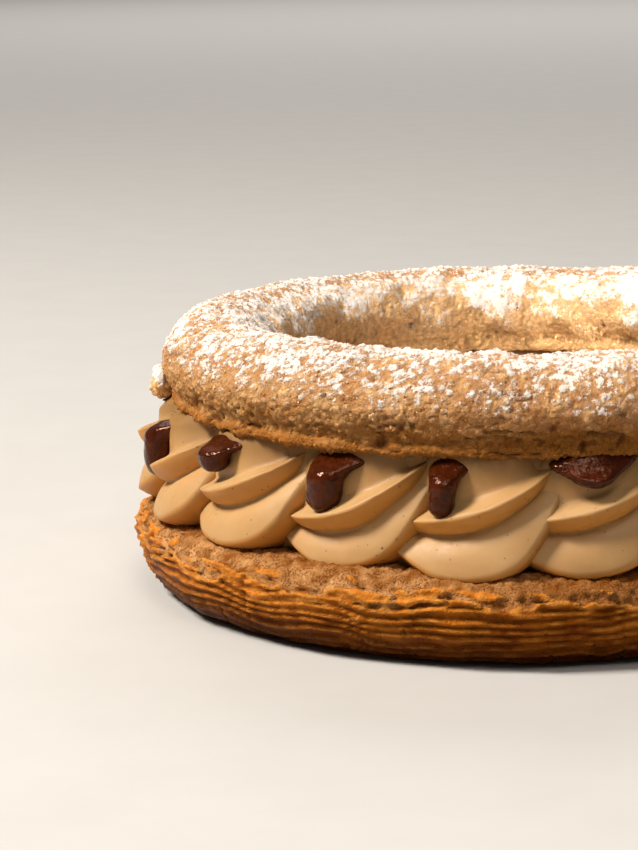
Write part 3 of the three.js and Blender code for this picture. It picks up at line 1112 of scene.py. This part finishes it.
def crumb_colour(sketch, place, height, pores):
    """Pale torn crumb with darker pores, and painted shade that browns it under the cream and on the
    right side, away from the light.
    """
    crumb = sketch.use(MOTTLING, {
        "Place": place, "Size": 5.0, "Low": CRUMB_BROWN, "High": CRUMB_PALE, "Contrast": 2.8,
    })["Colour"]
    # Painted shade: the crumb darkens under the cream, and on the right by the shade mark.
    under = sketch.step(height, CRUMB_SHADE * MM, BASE_HEIGHT * MM, 0.0, 0.55)
    shade = sketch.most(under, sketch.times(sketch.mark("shade"), 0.75))
    crumb = sketch.mix(shade, crumb, CRUMB_BROWN)
    return sketch.mix(sketch.times(pores, 0.7), crumb, CRUST_BROWN)


def crust_material():
    """Golden baked choux, with porous crumb where its crust has torn off."""
    material, sketch, shader = new_material("choux_crust")
    place = sketch.place()
    height = sketch.add("ShaderNodeSeparateXYZ", {0: place}).outputs["Z"]
    pale = sketch.use(MOTTLING, {
        "Place": place, "Size": 3.0, "Low": CRUST_GOLD, "High": CRUST_PALE, "Contrast": 2.6,
    })["Colour"]
    pores = sketch.use(PORES, {"Place": place, "Size": 0.5})["Mask"]
    crust = baked_colour(sketch, place, height, pale)
    crumb = crumb_colour(sketch, place, height, pores)
    ragged = sketch.times(sketch.minus(sketch.noise(place, 1.2, 4.0), 0.5), 0.6)
    torn = sketch.step(sketch.plus(sketch.mark("crumb"), ragged), 0.35, 0.65)
    colour = sketch.mix(torn, crust, crumb)
    grain = sketch.use(GRAIN, {"Place": place, "Size": 0.6})
    relief = sketch.minus(grain["Height"], sketch.times(pores, torn))
    sketch.wire(shader, {
        "Base Color": sketch.mix(sketch.times(sketch.mark("blister"), 0.6), colour, pale),
        "Roughness": sketch.step(torn, 0.0, 1.0, 0.34, 0.9),
        "Normal": sketch.bump(relief, 0.26),
        "Specular IOR Level": 0.07,
        "Specular Tint": CRUST_GLOSS,
    })
    return material


def craquelin_colour(sketch, place, tone):
    """Tan crust lightened to gold inside the ring by painted light, orange on the torn lip, brown low
    down from baking and painted shade, browner on the right from painted shade, and dark in cracks. Tone
    lightens it."""
    mottle = sketch.use(MOTTLING, {
        "Place": place, "Size": 4.0, "Low": LID_BROWN, "High": LID_TAN, "Contrast": 3.0,
    })["Colour"]
    toned = sketch.mix(tone, mottle, LID_TAN)
    # Painted light: the inner wall is lightened to gold.
    golden = sketch.mix(sketch.times(sketch.mark("inside"), 0.85), toned, LID_GOLD_LIT)
    lipped = sketch.mix(sketch.times(sketch.mark("lip"), 0.85), golden, LIP_GOLD)
    creased = sketch.mix(sketch.times(sketch.mark("crease"), 0.5), lipped, LID_CREASE)
    # Baked browning low down, with painted shade low down and on the right.
    baked = sketch.mix(sketch.times(sketch.mark("bake_and_shade"), 0.75), creased, LID_BAKED_AND_SHADED)
    return sketch.mix(sketch.mark("crack"), baked, LID_CRACK)


def craquelin_material():
    """Granular crackled crust, matte, with icing sugar lying in flecks."""
    material, sketch, shader = new_material("craquelin")
    place = sketch.place()
    coarse = sketch.use(GRAIN, {"Place": place, "Size": 1.3})
    fine = sketch.use(GRAIN, {"Place": place, "Size": 0.5})
    colour = craquelin_colour(sketch, place, 0.0)
    crease = sketch.times(coarse["Crease"], 0.45)
    creased = sketch.mix(crease, colour, LID_CREASE)
    dust = sketch.use(DUSTING, {"Place": place, "Cover": sketch.mark("sugar"), "Fleck": 0.5})
    grit = sketch.times(fine["Height"], 0.45)
    crust = sketch.plus(coarse["Height"], grit)
    relief = sketch.plus(crust, sketch.times(dust["Height"], 0.5))
    sketch.wire(shader, {
        "Base Color": sketch.mix(sketch.times(dust["Mask"], 0.9), creased, SUGAR_WHITE),
        "Roughness": sketch.step(dust["Mask"], 0.0, 1.0, 0.62, 0.9),
        "Normal": sketch.bump(relief, 0.5),
        "Specular IOR Level": 0.2,
        "Specular Tint": LID_GLOSS,
    })
    return material


def grain_material():
    """Loose craquelin grains: each has its own tone, and sugar on most of the upper ones."""
    material, sketch, shader = new_material("craquelin_grain")
    place = sketch.place()
    colour = craquelin_colour(sketch, place, sketch.times(sketch.mark("tone"), 0.6))
    dust = sketch.use(DUSTING, {"Place": place, "Cover": sketch.mark("sugar"), "Fleck": 0.5})
    sketch.wire(shader, {
        "Base Color": sketch.mix(sketch.times(dust["Mask"], 0.9), colour, SUGAR_WHITE),
        "Roughness": 0.65,
        "Specular IOR Level": 0.2,
        "Specular Tint": LID_GLOSS,
        "Normal": sketch.bump(sketch.noise(place, 0.35, 3.0), 0.15),
    })
    return material


def sugar_material():
    """Clumped icing sugar: soft white powder, faintly creamy where it is thin."""
    material, sketch, shader = new_material("icing_sugar")
    place = sketch.place()
    powder = sketch.use(MOTTLING, {
        "Place": place, "Size": 0.8, "Low": SUGAR_CREAMY, "High": SUGAR_WHITE, "Contrast": 2.0,
    })["Colour"]
    sketch.wire(shader, {
        "Base Color": powder,
        "Roughness": 0.95,
        "Normal": sketch.bump(sketch.noise(place, 0.2, 3.0), 0.06),
        "Subsurface Weight": 0.2,
        "Subsurface Radius": SUGAR_GLOW,
        "Subsurface Scale": SUGAR_GLOW_DEPTH,
    })
    return material


def cream_material():
    """Smooth praline cream, satin, with painted shade that tints undersides deeper orange and a painted
    shadow that darkens it close under the lid, with fine nut specks and a few burst bubbles."""
    material, sketch, shader = new_material("praline_cream")
    place = sketch.place()
    tint = sketch.use(MOTTLING, {
        "Place": place, "Size": 14.0, "Low": CREAM_DEEP, "High": CREAM_LIGHT, "Contrast": 1.4,
    })["Colour"]
    specks = sketch.use(SPECKS, {"Place": place, "Spacing": 2.7, "Width": 0.11})["Mask"]
    bubbles = sketch.use(SPECKS, {"Place": place, "Spacing": 7.5, "Width": 0.05})["Mask"]
    underside_shaded = sketch.mix(sketch.times(sketch.mark("under"), 0.85), tint, CREAM_UNDERSIDE_SHADE)
    # Painted shadow: the cream darkens close under the lid.
    shaded = sketch.mix(sketch.times(sketch.mark("lid_shadow"), 0.8), underside_shaded, CREAM_LID_SHADOW)
    flecked = sketch.mix(sketch.times(specks, 0.75), shaded, SPECK_BROWN)
    colour = sketch.mix(sketch.times(bubbles, 0.8), flecked, SPECK_BROWN)
    smear = sketch.noise(place, 1.6, 4.0, 0.6)
    relief = sketch.minus(sketch.times(smear, 0.25), bubbles)
    sketch.wire(shader, {
        "Base Color": colour,
        "Roughness": sketch.step(smear, 0.3, 0.7, 0.48, 0.62),
        "Specular IOR Level": 0.4,
        "Normal": sketch.bump(relief, 0.18),
        "Subsurface Weight": 0.25,
        "Subsurface Radius": CREAM_GLOW,
        "Subsurface Scale": CREAM_GLOW_DEPTH,
    })
    return material


def praline_material():
    """Wet dark nut paste: sharp gloss over small lumps."""
    material, sketch, shader = new_material("praline_paste")
    place = sketch.place()
    paste = sketch.use(MOTTLING, {
        "Place": place, "Size": 2.2, "Low": PRALINE_DARK, "High": PRALINE_RED, "Contrast": 2.0,
    })["Colour"]
    sketch.wire(shader, {
        "Base Color": paste,
        "Roughness": sketch.step(sketch.noise(place, 1.1, 3.0), 0.35, 0.65, 0.05, 0.16),
        "Normal": sketch.bump(sketch.noise(place, 1.2, 3.0, 0.5), 0.3),
        "Specular IOR Level": 0.3,
        "Specular Tint": PRALINE_GLOSS,
    })
    return material


# ---------------------------------------------------------------- scene

def make_floor():
    bm = bmesh.new()
    bmesh.ops.create_grid(bm, x_segments=1, y_segments=1, size=FLOOR_HALF)
    mesh = bpy.data.meshes.new("floor")
    bm.to_mesh(mesh)
    bm.free()
    material, sketch, shader = new_material("pale_floor")
    tint = sketch.use(MOTTLING, {
        "Place": sketch.place(), "Size": 30.0, "Low": FLOOR_DARK, "High": FLOOR_PALE, "Contrast": 1.0,
    })["Colour"]
    sketch.wire(shader, {"Base Color": tint, "Roughness": 0.85})
    mesh.materials.append(material)
    floor = bpy.data.objects.new("floor", mesh)
    bpy.context.scene.collection.objects.link(floor)


def make_camera():
    down, left, roll = (math.radians(a) for a in (CAMERA_DOWN, CAMERA_LEFT, CAMERA_ROLL))
    turn = Matrix.Rotation(left, 3, "Z") @ Matrix.Rotation(math.pi / 2 - down, 3, "X")
    camera = bpy.data.cameras.new("camera")
    camera.lens = CAMERA_LENS
    camera.sensor_width = SENSOR
    seat = bpy.data.objects.new("camera", camera)
    seat.matrix_world = Matrix.LocRotScale(
        Vector(CAMERA_PLACE), (turn @ Matrix.Rotation(roll, 3, "Z")).to_quaternion(), None,
    )
    bpy.context.scene.collection.objects.link(seat)
    bpy.context.scene.camera = seat


def add_light(name, place, aim, size, power, colour, spread):
    """Square soft light that points at its aim and fans out by its spread."""
    light = bpy.data.lights.new(name, "AREA")
    light.size = size
    light.spread = math.radians(spread)
    light.energy = power
    light.color = colour
    lamp = bpy.data.objects.new(name, light)
    lamp.location = place
    lamp.rotation_euler = (Vector(aim) - Vector(place)).to_track_quat("-Z", "Y").to_euler()
    bpy.context.scene.collection.objects.link(lamp)


def make_lights():
    for name, settings in LIGHTS.items():
        add_light(name, *settings)
    world = bpy.data.worlds.new("studio")
    world.use_nodes = True
    background = world.node_tree.nodes["Background"]
    background.inputs["Color"].default_value = STUDIO_COLOUR
    background.inputs["Strength"].default_value = STUDIO_STRENGTH
    bpy.context.scene.world = world
    bpy.context.scene.view_settings.view_transform = "Standard"


make_camera()
make_lights()
make_floor()
make_base()
make_cream()
make_praline()
craquelin = craquelin_material()
lid = make_lid(craquelin)
make_flake(craquelin)
make_grains(lid, grain_material())
make_sugar(lid)
